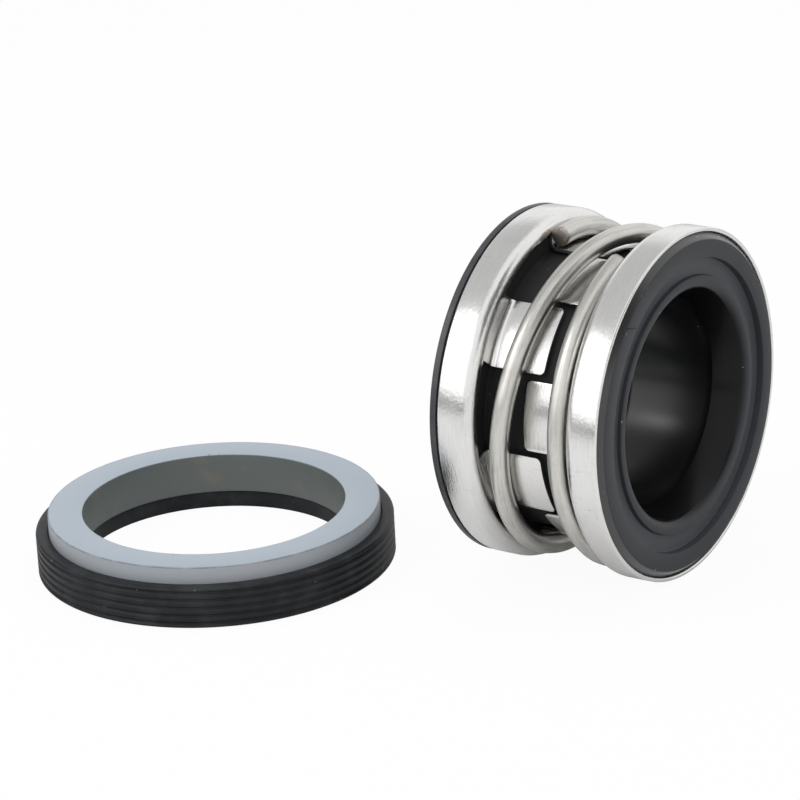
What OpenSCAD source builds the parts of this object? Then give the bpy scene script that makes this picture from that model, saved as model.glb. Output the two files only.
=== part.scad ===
// Component mechanical seal: a rotary head with a rubber bellows, and the stationary seat that it runs on.
// The two stand side by side, as a set laid out before fitting.
// The head lies on the rims of its two cups with its axis level, and the seat lies flat with its face up.
// Millimetres, +Z up. The head's axis runs along X and its tail looks towards +X.
// The origin is on the floor, in the middle of the ground that the set covers.

/* [Shaft fit] */
// Diameter of the shaft that the head grips
shaft_d = 35; // [33:0.5:36]
// How much smaller than the shaft the rubber bore is, on the radius
hub_squeeze = 0.25; // [0.1:0.05:0.4]
// Clearance round the shaft inside the carbon ring, on the radius
ring_shaft_gap = 0.9; // [0.6:0.1:1.4]

/* [Pressed cups] */
// Outer radius of both cups
cup_r = 29; // [28:0.5:31]
// Thickness of the stainless sheet
sheet_t = 0.7; // [0.5:0.1:0.9]
// Height of a cup from its lip to the outside of its shoulder
cup_h = 6.2; // [5.4:0.1:7]
// Outside radius of the pressed shoulder
shoulder_r = 2; // [1.4:0.1:2.4]
// Flat rim left inside the shoulder, between the tabs
rim_web = 0.3; // [0.2:0.1:0.6]
// Distance from the rubber's tail face to the lip of the drive band
lip_inset = 0.6; // [0.3:0.1:1]

/* [Drive tabs] */
// Number of tabs on each cup
tab_count = 6; // [5:1:6]
// Gap between a tab and the other cup's tab beside it
tab_gap = 1.1; // [0.6:0.1:2.5]
// Reach of a tab from the outside of the shoulder
tab_len = 9.9; // [8:0.1:10.5]
// Inside radius of the bend at the root of a tab
tab_bend = 0.9; // [0.6:0.1:1.2]
// Radius of the corners at the tip of a tab
tab_corner = 0.9; // [0.4:0.1:1.6]
// Angle of the first tab of the retainer, from straight up towards the back
tab_phase = 9; // [0:1:59]

/* [Spring] */
// Diameter of the spring wire
wire_d = 3.25; // [2.6:0.05:3.4]
// Distance between the shoulders of the two cups, which the free spring fills
spring_len = 17.05; // [15.5:0.05:19]
// How far the coil stands in from the outside of the cups
spring_inset = 1; // [0.7:0.05:1.2]
// Clearance between the spring and the tabs inside it
spring_tab_gap = 0.5; // [0.35:0.05:0.6]
// Angle of the closed turn that lies on the retainer
face_turn = 199; // [150:0.5:230]
// Angle over which the wire crosses from one cup to the other
rise_turn = 280; // [240:1:320]
// Angle of the closed turn that lies on the drive band
tail_turn = 231; // [180:1:250]
// Angle of the wire's first end, from straight up towards the back
wire_start = -5; // [-30:0.5:30]
// Height of the closed turn over the drive band where the crossing ends
turn_lift = 1; // [0:0.1:1.5]

/* [Rubber bellows] */
// Width of rubber between the groove in the tail face and the drive band
tail_ring_w = 4.1; // [3.2:0.1:4.6]
// Width of the groove in the tail face
groove_w = 2.95; // [2:0.05:3.4]
// Depth of the groove in the tail face
groove_depth = 1.6; // [1:0.1:2]
// How far the narrow land inside the groove stands back from the tail face
land_inset = 0.5; // [0.2:0.1:0.8]
// Width of the narrow land
land_w = 1; // [0.6:0.1:1.2]
// Depth at which the tapered mouth meets the bore
mouth_depth = 5.8; // [4.5:0.1:6.5]
// Radius of the rounded edge of the mouth
mouth_round = 0.9; // [0.5:0.1:1.2]
// Chamfer round the edge of the tail face
tail_chamfer = 0.65; // [0.3:0.05:1]
// Wall of the hub that grips the shaft
hub_wall = 2.1; // [1.6:0.1:2.3]
// Length of the hub from the tail face
hub_len = 19.5; // [16:0.1:21]
// Depth at which the fold leaves the hub
fold_depth = 10.6; // [9:0.1:12]
// Wall of the fold and of the sleeve under the tabs
sleeve_wall = 1.6; // [1.2:0.1:1.8]
// Clearance between the sleeve and the tabs over it
sleeve_tab_gap = 0.35; // [0.3:0.05:0.5]
// Thickness of the rubber bead between the retainer and the carbon ring
bead_t = 0.3; // [0.2:0.05:0.6]
// Wall of rubber between the carbon ring's body and the retainer
ring_wrap = 3.1; // [2:0.1:3.5]
// Clearance of rubber and ceramic pieces in their seats
seat_fit = 0.05; // [0.02:0.01:0.1]

/* [Carbon ring] */
// Thickness of the ring's rim outside the retainer
rim_t = 1.15; // [0.8:0.05:1.8]
// How much smaller than the cups the rim is, on the radius
rim_inset = 0.05; // [0:0.05:0.3]
// Length of the ring's body inside the rubber
ring_body = 4; // [3:0.1:4.4]
// How far the lapped nose stands in from the bore of the seat ring, on the radius
nose_step = 0.8; // [0.4:0.1:1.5]
// Width of the lapped nose
nose_w = 3.2; // [2.4:0.1:3.8]
// Height of the lapped nose over the rim
nose_h = 1.2; // [0.8:0.1:2]

/* [Seat] */
// Clearance round the shaft inside the seat ring, on the radius
seat_shaft_gap = 4.4; // [3.8:0.1:4.8]
// Width of the seat ring, from its bore to its outside
seat_w = 5.8; // [5.2:0.1:6.4]
// Thickness of the seat ring
seat_t = 6.84; // [6:0.02:8]
// Edge break of the seat ring
seat_edge = 0.25; // [0.1:0.05:0.4]
// Wall of the rubber boot round the ring
boot_wall = 2.15; // [1.8:0.05:3]
// Height of the ring's face over the top of the boot
ring_stand = 2.75; // [1.5:0.05:3.2]
// Thickness of the boot under the ring
boot_floor = 2.96; // [2:0.02:3.2]
// How much wider than the ring's bore the boot's floor is open, on the radius
boot_step = 0.5; // [0.4:0.1:1.5]
// Number of sealing grooves round the boot
boot_grooves = 4; // [1:1:4]
// Distance from one sealing groove to the next
groove_pitch = 1.1; // [0.9:0.05:1.15]
// Radius of a sealing groove
groove_round = 0.3; // [0.15:0.05:0.35]
// Distance from the top of the boot to its first groove
groove_top = 0.85; // [0.7:0.05:1.1]
// Rounding of the boot's upper outer edge
boot_round = 0.55; // [0.3:0.05:0.7]
// Rounding of the boot's lower outer edge, which leads it into its housing
boot_lead = 1.15; // [0.4:0.05:1.6]

/* [Layout] */
// Distance from the head's tail face to the seat's axis, along X
set_dx = 74.5; // [70:0.5:90]
// Distance from the head's axis to the seat's axis, along Y
set_dy = 30.4; // [10:0.2:40]

/* [Hidden] */
$fn = 72;
small_fn = 24;
steel = "#c9c7c2";
spring_steel = "#b9b4aa";
rubber = "#2c2e30";
carbon = "#3b3d42";
ceramic = "#8f969c";
over = 1;
wire_sides = 12;
wire_step = 7.5;
slope_step = 0.5;

// Distances along the head's axis are measured from the tail face towards the seal face
bore_r = shaft_d / 2 - hub_squeeze;
hub_r = bore_r + hub_wall;
drive_shoulder = lip_inset + cup_h;
face_shoulder = drive_shoulder + spring_len;
face_lip = face_shoulder + cup_h;
rim_back = face_lip + bead_t;
rim_front = rim_back + rim_t;
nose_front = rim_front + nose_h;
cup_ri = cup_r - sheet_t;
wire_r = wire_d / 2;
tab_r = cup_r - spring_inset - wire_d - spring_tab_gap;
coil_r = tab_r + spring_tab_gap + wire_r;
bend_ri = shoulder_r - sheet_t;
rubber_r = cup_ri - seat_fit;
sleeve_ro = tab_r - sheet_t - sleeve_tab_gap;
sleeve_ri = sleeve_ro - sleeve_wall;
groove_r = cup_ri - tail_ring_w;
land_ro = groove_r - groove_w;
land_ri = land_ro - land_w;
ring_ro = cup_ri - ring_wrap;
ring_ri = shaft_d / 2 + ring_shaft_gap;
ring_back = rim_back - ring_body;
tab_pitch = 360 / tab_count;
tab_gap_angle = tab_gap / tab_r * 180 / PI;
tab_w = 2 * tab_r * sin((tab_pitch / 2 - tab_gap_angle) / 2);

// Spring: the middle of the wire on its two seats
face_seat = face_shoulder - wire_r - seat_fit;
tail_seat = drive_shoulder + wire_r + seat_fit;
wire_turn = face_turn + rise_turn + tail_turn;

// Seat
seat_ri = shaft_d / 2 + seat_shaft_gap;
seat_ro = seat_ri + seat_w;
seat_base = boot_floor + seat_fit;
boot_r = seat_ro + seat_fit + boot_wall;
boot_ri = seat_ri + boot_step;
boot_h = seat_base + seat_t - ring_stand;
nose_ri = seat_ri + nose_step;

// Places on the floor
head_x = (set_dx + boot_r) / 2;
head_y = (set_dy + boot_r - cup_r) / 2;
seat_x = head_x - set_dx;
seat_y = head_y - set_dy;

function clamp01(v) = min(1, max(0, v));
function smooth(v) = v * v * (3 - 2 * v);
function unit(v) = v / norm(v);

// Place of the wire along the axis, at an angle from its first end
function wire_rise(a) = smooth(clamp01((a - face_turn) / rise_turn));
function wire_settle(a) = pow(clamp01((a - face_turn - rise_turn) / tail_turn), 3);
function wire_s(a) = face_seat - (face_seat - tail_seat - turn_lift) * wire_rise(a) - turn_lift * wire_settle(a);
function wire_point(a) = [
    coil_r * cos(wire_start + a),
    coil_r * sin(wire_start + a),
    wire_s(a)
];
function wire_out(a) = [cos(wire_start + a), sin(wire_start + a), 0];
function wire_way(a) = unit(wire_point(a + slope_step) - wire_point(a - slope_step));

// Puts a piece made along Z, from its tail, on the head's level axis
module on_head_axis() {
    translate([head_x, head_y, cup_r])
        rotate([0, -90, 0])
            children();
}

module on_seat_axis() {
    translate([seat_x, seat_y, 0])
        children();
}

// Quarter of a ring in the plane, from the start angle
module quarter_ring(ro, ri, start) {
    intersection() {
        difference() {
            circle(ro, $fn = small_fn);
            circle(ri, $fn = small_fn);
        }
        rotate(start)
            square(ro + over);
    }
}

// Section of a cup's band: rounded lip, straight wall and turned-in shoulder, with the lip at height 0
module band_section() {
    translate([cup_r - sheet_t / 2, sheet_t / 2])
        circle(d = sheet_t, $fn = small_fn);
    translate([cup_ri, sheet_t / 2])
        square([sheet_t, cup_h - shoulder_r - sheet_t / 2]);
    translate([cup_r - shoulder_r, cup_h - shoulder_r])
        quarter_ring(shoulder_r, bend_ri, 0);
    translate([cup_r - shoulder_r - rim_web, cup_h - sheet_t])
        square([rim_web, sheet_t]);
}

// Section of a tab: flat root on the shoulder, bend, and the leg that runs along the axis
module tab_section() {
    translate([tab_r + tab_bend, cup_h - sheet_t])
        square([cup_r - shoulder_r - tab_r - tab_bend, sheet_t]);
    translate([tab_r + tab_bend, cup_h + tab_bend])
        quarter_ring(tab_bend + sheet_t, tab_bend, 180);
    translate([tab_r - sheet_t, cup_h + tab_bend])
        square([sheet_t, tab_len - tab_bend]);
}

// Outline of one tab as it was blanked, with round corners at its tip
module tab_outline() {
    leg = tab_len + sheet_t + over;
    translate([-tab_w / 2, cup_h - sheet_t - over])
        square([tab_w, leg - tab_corner]);
    translate([tab_corner - tab_w / 2, cup_h - sheet_t - over])
        square([tab_w - 2 * tab_corner, leg]);
    for (side = [-1, 1])
        translate([side * (tab_w / 2 - tab_corner), cup_h + tab_len - tab_corner])
            circle(tab_corner, $fn = small_fn);
}

// Pressed cup with its ring of tabs, lip at height 0 and tabs pointing up, with its first gap at an angle
module pressed_cup(gap_at) {
    rotate([0, 0, gap_at]) {
        rotate_extrude()
            band_section();
        intersection() {
            rotate_extrude()
                tab_section();
            for (k = [0 : tab_count - 1])
                rotate([0, 0, (k + 0.5) * tab_pitch])
                    rotate([90, 0, 90])
                        linear_extrude(cup_r)
                            tab_outline();
        }
    }
}

module drive_band() {
    color(steel)
        on_head_axis()
            translate([0, 0, lip_inset])
                pressed_cup(tab_phase);
}

module retainer() {
    color(steel)
        on_head_axis()
            translate([0, 0, face_lip])
                mirror([0, 0, 1])
                    pressed_cup(tab_phase - tab_pitch / 2);
}

// Section of the rubber behind the drive band: grooved tail face, tapered mouth and rounded shoulder
module tail_block_section() {
    block_front = drive_shoulder - sheet_t - seat_fit;
    corner = max(bend_ri, seat_fit);
    difference() {
        union() {
            polygon([
                [bore_r, mouth_depth],
                [land_ri - mouth_round, land_inset + mouth_round],
                [land_ri - mouth_round, land_inset],
                [land_ri, land_inset],
                [land_ro, land_inset],
                [land_ro, 0],
                [rubber_r - tail_chamfer, 0],
                [rubber_r, tail_chamfer],
                [rubber_r, block_front - corner],
                [rubber_r - corner, block_front],
                [bore_r, block_front]
            ]);
            translate([rubber_r - corner, block_front - corner])
                circle(corner, $fn = small_fn);
        }
        translate([land_ro, -over])
            square([groove_w, groove_depth + over]);
        translate([land_ri - mouth_round, land_inset])
            mouth_edge_cut();
    }
}

// Waste that leaves a round edge where the narrow land turns into the mouth
module mouth_edge_cut() {
    difference() {
        translate([-over, -over])
            square([mouth_round + over, mouth_round + over]);
        translate([mouth_round, mouth_round])
            circle(mouth_round, $fn = small_fn);
    }
}

// Section of the hub, the fold and the sleeve that the two cups pull and push
module fold_section() {
    block_front = drive_shoulder - sheet_t - seat_fit;
    sleeve_end = face_shoulder + sheet_t + seat_fit;
    mid = fold_depth + sleeve_wall;
    translate([bore_r, mouth_depth])
        square([hub_wall, hub_len - mouth_depth - hub_wall / 2]);
    translate([bore_r + hub_wall / 2, hub_len - hub_wall / 2])
        circle(hub_wall / 2, $fn = small_fn);
    translate([bore_r, fold_depth])
        square([sleeve_ri - bore_r, sleeve_wall]);
    translate([sleeve_ri, mid])
        quarter_ring(sleeve_wall, 0, 270);
    translate([sleeve_ri, mid])
        square([sleeve_wall, sleeve_end - mid + over]);
    translate([bore_r, block_front - over])
        square([hub_wall, fold_depth - block_front + over]);
}

// Section of the rubber inside the retainer, which wraps the carbon ring
module front_block_section() {
    back = face_shoulder + sheet_t + seat_fit;
    corner = max(bend_ri, seat_fit);
    difference() {
        union() {
            translate([sleeve_ri, back])
                square([rubber_r - corner - sleeve_ri, face_lip - back]);
            translate([sleeve_ri, back + corner])
                square([rubber_r - sleeve_ri, face_lip - back - corner]);
            translate([rubber_r - corner, back + corner])
                circle(corner, $fn = small_fn);
            translate([sleeve_ri, face_lip + seat_fit])
                square([cup_r - sheet_t / 2 - sleeve_ri, bead_t - 2 * seat_fit]);
            translate([sleeve_ri, face_lip - over])
                square([rubber_r - sleeve_ri, over + bead_t - seat_fit]);
        }
        translate([sleeve_ri - over, ring_back - seat_fit])
            square([ring_ro + seat_fit - sleeve_ri + over, ring_body + over]);
    }
}

module bellows() {
    color(rubber)
        on_head_axis()
            rotate_extrude()
                union() {
                    tail_block_section();
                    fold_section();
                    front_block_section();
                }
}

// Carbon ring: body in the rubber, wide rim outside the retainer and lapped nose
module primary_ring() {
    color(carbon)
        on_head_axis()
            rotate_extrude()
                union() {
                    translate([ring_ri, ring_back])
                        square([ring_ro - ring_ri, rim_front - ring_back]);
                    translate([ring_ri, rim_back])
                        square([cup_r - rim_inset - ring_ri, rim_t]);
                    translate([nose_ri, rim_back])
                        square([nose_w, nose_front - rim_back]);
                }
}

// Round wire swept along the coil, with flat cut ends
module spring() {
    steps = ceil(wire_turn / wire_step);
    turn = wire_turn / steps;
    rings = [
        for (k = [0 : steps])
            let (
                a = k * turn,
                mid = wire_point(a),
                out = wire_out(a),
                side = cross(wire_way(a), out)
            )
            for (j = [0 : wire_sides - 1])
                let (b = 360 * j / wire_sides)
                mid + wire_r * (cos(b) * out + sin(b) * side)
    ];
    walls = [
        for (k = [0 : steps - 1])
            for (j = [0 : wire_sides - 1])
                let (
                    next = (j + 1) % wire_sides,
                    low = k * wire_sides,
                    high = low + wire_sides
                )
                [low + j, low + next, high + next, high + j]
    ];
    first_cap = [for (j = [0 : wire_sides - 1]) wire_sides - 1 - j];
    last_cap = [for (j = [0 : wire_sides - 1]) steps * wire_sides + j];
    color(spring_steel)
        on_head_axis()
            polyhedron(points = rings, faces = concat([first_cap, last_cap], walls), convexity = 8);
}

// Hard seat ring with its lapped face up
module seat_ring() {
    color(ceramic)
        on_seat_axis()
            rotate_extrude()
                polygon([
                    [seat_ri + seat_edge, seat_base],
                    [seat_ro - seat_edge, seat_base],
                    [seat_ro, seat_base + seat_edge],
                    [seat_ro, seat_base + seat_t - seat_edge],
                    [seat_ro - seat_edge, seat_base + seat_t],
                    [seat_ri + seat_edge, seat_base + seat_t],
                    [seat_ri, seat_base + seat_t - seat_edge],
                    [seat_ri, seat_base + seat_edge]
                ]);
}

// Rubber boot of L section, with sealing grooves round it
module seat_boot() {
    wall_ri = seat_ro + seat_fit;
    color(rubber)
        on_seat_axis()
            rotate_extrude()
                difference() {
                    union() {
                        translate([boot_ri, 0])
                            square([boot_r - boot_lead - boot_ri, boot_floor]);
                        translate([wall_ri, boot_lead])
                            square([boot_r - wall_ri, boot_h - boot_round - boot_lead]);
                        translate([wall_ri, boot_lead])
                            square([boot_r - boot_round - wall_ri, boot_h - boot_lead]);
                        translate([boot_r - boot_lead, boot_lead])
                            circle(boot_lead, $fn = small_fn);
                        translate([boot_r - boot_round, boot_h - boot_round])
                            circle(boot_round, $fn = small_fn);
                    }
                    for (k = [0 : boot_grooves - 1])
                        translate([boot_r, boot_h - groove_top - k * groove_pitch])
                            circle(groove_round, $fn = small_fn);
                }
}

seat_boot();
seat_ring();
primary_ring();
retainer();
bellows();
drive_band();
spring();
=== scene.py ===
"""Component mechanical seal: a rotary head on its cups' rims, beside the seat it runs on.

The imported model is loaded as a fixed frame. Every piece of the set is then modelled again with fine
edges and a finish of its own: two pressed cups with their drive tabs, the coil spring between them,
the rubber bellows, the carbon ring, the hard seat ring and its rubber boot.
"""
import logging
import math
from dataclasses import dataclass, field
from enum import Enum
from typing import Callable, Optional, Sequence, Union

import bmesh
import bpy
from mathutils import Matrix, Vector


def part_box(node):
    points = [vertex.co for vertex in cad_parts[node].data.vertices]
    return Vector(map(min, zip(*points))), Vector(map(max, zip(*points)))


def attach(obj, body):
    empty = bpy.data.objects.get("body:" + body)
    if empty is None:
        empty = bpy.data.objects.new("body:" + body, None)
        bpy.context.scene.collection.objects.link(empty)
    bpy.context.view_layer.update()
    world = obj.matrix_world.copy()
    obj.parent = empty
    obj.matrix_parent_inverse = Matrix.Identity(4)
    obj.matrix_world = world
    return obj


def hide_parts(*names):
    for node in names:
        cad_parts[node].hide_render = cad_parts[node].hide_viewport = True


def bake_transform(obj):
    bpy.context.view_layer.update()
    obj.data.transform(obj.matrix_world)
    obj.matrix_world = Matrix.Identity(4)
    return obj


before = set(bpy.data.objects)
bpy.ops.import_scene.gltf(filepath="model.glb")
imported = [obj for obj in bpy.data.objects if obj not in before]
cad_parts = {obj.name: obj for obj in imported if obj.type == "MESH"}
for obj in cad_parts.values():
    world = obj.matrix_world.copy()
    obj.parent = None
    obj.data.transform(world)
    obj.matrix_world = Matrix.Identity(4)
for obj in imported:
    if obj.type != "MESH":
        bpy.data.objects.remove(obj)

log = logging.getLogger("seal")

MM = 0.001
FULL_TURN = 2 * math.pi
COLUMNS = 180
SEAT_COLUMNS = 216
HEAD_BODY = "drive_end_and_seat"
FACE_BODY = "face_end"

Piece = bpy.types.Object
Material = bpy.types.Material
Colour = tuple[float, float, float]

WHITE: Colour = (1.0, 1.0, 1.0)


# Places


@dataclass(frozen=True)
class Axis:
    """Axis of turning, with the direction from which its angles are counted.

    Distances run along it from its origin, and angles turn from up towards across.
    """

    origin: Vector
    along: Vector
    up: Vector
    across: Vector

    def out(self, turn: float) -> Vector:
        """Returns the unit direction away from the axis at an angle in radians."""
        return self.up * math.cos(turn) + self.across * math.sin(turn)

    def place(self, distance: float, radius: float, turn: float = 0.0) -> Vector:
        """Returns the point at a distance along the axis, a radius and an angle in radians."""
        return self.origin + self.along * distance + self.out(turn) * radius

    def distance(self, point: Vector) -> float:
        """Returns how far along the axis a point lies."""
        return (point - self.origin).dot(self.along)

    def radius(self, point: Vector) -> float:
        """Returns how far from the axis a point lies."""
        offset = point - self.origin
        return (offset - self.along * offset.dot(self.along)).length

    def turn(self, point: Vector) -> float:
        """Returns the angle of a point in radians."""
        offset = point - self.origin
        return math.atan2(offset.dot(self.across), offset.dot(self.up))


@dataclass(frozen=True)
class Corner:
    """Corner of a turned section.

    Attributes:
        distance: Distance along the axis.
        radius: Distance from the axis.
        rounding: Radius that the corner is rounded to.
        steps: Number of facets in the rounding.
    """

    distance: float
    radius: float
    rounding: float = 0.0
    steps: int = 4


class Kind(Enum):
    """What an edit-mode selection is made of."""

    VERTICES = "VERT"
    EDGES = "EDGE"
    FACES = "FACE"


# Modelling bench


class Bench:
    """One new piece on the bench, shaped in edit mode from a single point."""

    SEED = 1 * MM
    WELD = 0.0002 * MM
    NEAR = 0.02 * MM
    SHARP = math.radians(60)
    SMOOTH = math.radians(32)

    def __init__(self, name: str, start: Vector) -> None:
        """Starts a piece as one vertex.

        Args:
            name: Name of the piece.
            start: Place of its first vertex.
        """
        bpy.ops.object.select_all(action="DESELECT")
        bpy.ops.mesh.primitive_plane_add(size=self.SEED, location=start)
        self.piece = bpy.context.active_object
        self.piece.name = name
        self.piece.data.name = name
        bpy.ops.object.transform_apply(location=True, rotation=True, scale=True)
        bpy.ops.object.mode_set(mode="EDIT")
        bpy.ops.mesh.select_mode(type=Kind.VERTICES.value)
        bpy.ops.mesh.select_all(action="SELECT")
        bpy.ops.mesh.merge(type="CENTER")

    def draw(self, route: Sequence[Vector]) -> None:
        """Extrudes the selected vertex along a route that starts where it is."""
        for here, there in zip(route, route[1:]):
            bpy.ops.mesh.extrude_region_move(TRANSFORM_OT_translate={"value": there - here})

    def weld(self) -> None:
        """Merges vertices that lie on each other."""
        bpy.ops.mesh.select_all(action="SELECT")
        bpy.ops.mesh.remove_doubles(threshold=self.WELD)

    def select(self, kind: Kind, test: Callable[[Vector], bool]) -> None:
        """Selects what passes a test on its middle.

        Args:
            kind: Vertices, edges or faces.
            test: Takes the middle of a vertex, edge or face.
        """
        bpy.ops.mesh.select_all(action="DESELECT")
        bpy.ops.mesh.select_mode(type=kind.value)
        mesh = bmesh.from_edit_mesh(self.piece.data)
        items, middle = {
            Kind.VERTICES: (mesh.verts, lambda vertex: vertex.co),
            Kind.EDGES: (mesh.edges, lambda edge: (edge.verts[0].co + edge.verts[1].co) / 2),
            Kind.FACES: (mesh.faces, lambda face: face.calc_center_median()),
        }[kind]
        for item in items:
            if test(middle(item)):
                item.select_set(True)
        bmesh.update_edit_mesh(self.piece.data)

    def round_corners(self, axis: Axis, corners: Sequence[Corner], closed: bool) -> None:
        """Rounds the corners of a drawn section that have a rounding.

        Args:
            axis: Axis that the corners are placed on.
            corners: The section's corners in order.
            closed: Whether the last corner is joined to the first.
        """
        places = [axis.place(corner.distance, corner.radius) for corner in corners]
        for index, corner in enumerate(corners):
            ends = index in (0, len(corners) - 1)
            if corner.rounding <= 0 or (ends and not closed):
                continue
            here = places[index]
            back = (places[index - 1] - here).normalized()
            ahead = (places[(index + 1) % len(places)] - here).normalized()
            tangent = corner.rounding / math.tan(back.angle(ahead) / 2)
            self.select(Kind.VERTICES, lambda point, here=here: (point - here).length < self.NEAR)
            bpy.ops.mesh.bevel(
                offset=tangent, segments=corner.steps, affect="VERTICES", clamp_overlap=False
            )

    def round_sharp(self, rounding: float, steps: int) -> None:
        """Rounds every sharp edge of the piece.

        Args:
            rounding: Width of the bevel.
            steps: Number of facets in it.
        """
        bpy.ops.mesh.select_all(action="DESELECT")
        bpy.ops.mesh.select_mode(type=Kind.EDGES.value)
        bpy.ops.mesh.edges_select_sharp(sharpness=self.SHARP)
        bpy.ops.mesh.bevel(offset=rounding, segments=steps, affect="EDGES")

    def spin(self, axis: Axis, columns: int, turn: float = FULL_TURN) -> None:
        """Turns the whole section about an axis.

        Args:
            axis: Axis of turning.
            columns: Number of steps.
            turn: Angle of the sweep in radians, from up towards across.
        """
        bpy.ops.mesh.select_all(action="SELECT")
        bpy.ops.mesh.spin(steps=columns, angle=-turn, center=axis.origin, axis=axis.along)

    def face_outwards(self) -> None:
        """Turns all faces outwards."""
        bpy.ops.mesh.select_all(action="SELECT")
        bpy.ops.mesh.normals_make_consistent(inside=False)

    def done(self, smooth: float = SMOOTH) -> Piece:
        """Leaves edit mode and shades the piece smooth up to an angle.

        Args:
            smooth: Edges with a sharper angle than this stay sharp, in radians.

        Returns:
            The finished piece.
        """
        bpy.ops.object.mode_set(mode="OBJECT")
        bpy.ops.object.shade_smooth_by_angle(angle=smooth)
        self.piece.select_set(False)
        return self.piece


def turned(name: str, axis: Axis, corners: Sequence[Corner], columns: int = COLUMNS) -> Piece:
    """Makes a closed turned piece.

    Args:
        name: Name of the piece.
        axis: Axis of turning.
        corners: Corners of its section in order, the last joined to the first.
        columns: Number of columns round it.

    Returns:
        The piece.
    """
    route = [axis.place(corner.distance, corner.radius) for corner in corners]
    bench = Bench(name, route[0])
    bench.draw([*route, route[0]])
    bench.weld()
    bench.round_corners(axis, corners, closed=True)
    bench.spin(axis, columns)
    bench.weld()
    bench.face_outwards()
    return bench.done()


# Shader maths


@dataclass(frozen=True)
class Wire:
    """An output socket of a node, on which arithmetic adds Math nodes."""

    paint: "Paint"
    socket: bpy.types.NodeSocket

    def __add__(self, other: "Number") -> "Wire":
        """Adds."""
        return self.paint.math("ADD", self, other)

    __radd__ = __add__

    def __sub__(self, other: "Number") -> "Wire":
        """Subtracts."""
        return self.paint.math("SUBTRACT", self, other)

    def __rsub__(self, other: "Number") -> "Wire":
        """Subtracts this from a number."""
        return self.paint.math("SUBTRACT", other, self)

    def __mul__(self, other: "Number") -> "Wire":
        """Multiplies."""
        return self.paint.math("MULTIPLY", self, other)

    __rmul__ = __mul__

    def __pow__(self, other: "Number") -> "Wire":
        """Raises to a power."""
        return self.paint.math("POWER", self, other)

    def __abs__(self) -> "Wire":
        """Drops the sign."""
        return self.paint.math("ABSOLUTE", self, 0.0)

    def least(self, other: "Number") -> "Wire":
        """Returns the smaller of two values."""
        return self.paint.math("MINIMUM", self, other)

    def most(self, other: "Number") -> "Wire":
        """Returns the larger of two values."""
        return self.paint.math("MAXIMUM", self, other)

    def band(self, low: float, high: float) -> "Wire":
        """Returns 0 below a low value and 1 above a high one, with a smooth step between."""
        sockets = {"Value": self, "From Min": low, "From Max": high}
        return self.paint.node("ShaderNodeMapRange", {"interpolation_type": "SMOOTHSTEP"}, sockets)

    def between(self, low: "Number", high: "Number") -> "Wire":
        """Returns the first value where this is 0 and the second where it is 1."""
        return low + self * (high - low)


Number = Union[Wire, float]
Place = tuple[Wire, Wire, Wire]


@dataclass(frozen=True)
class Pattern:
    """Noise pattern.

    Attributes:
        scale: Waves a metre.
        detail: Number of finer layers.
        roughness: Strength of each finer layer.
        shows: Values between which its spots come up.
        pull: Factors of the three coordinates, below 1 where the pattern is drawn out.
    """

    scale: float
    detail: float
    roughness: float
    shows: tuple[float, float] = (0.0, 1.0)
    pull: tuple[float, float, float] = (1.0, 1.0, 1.0)


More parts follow.
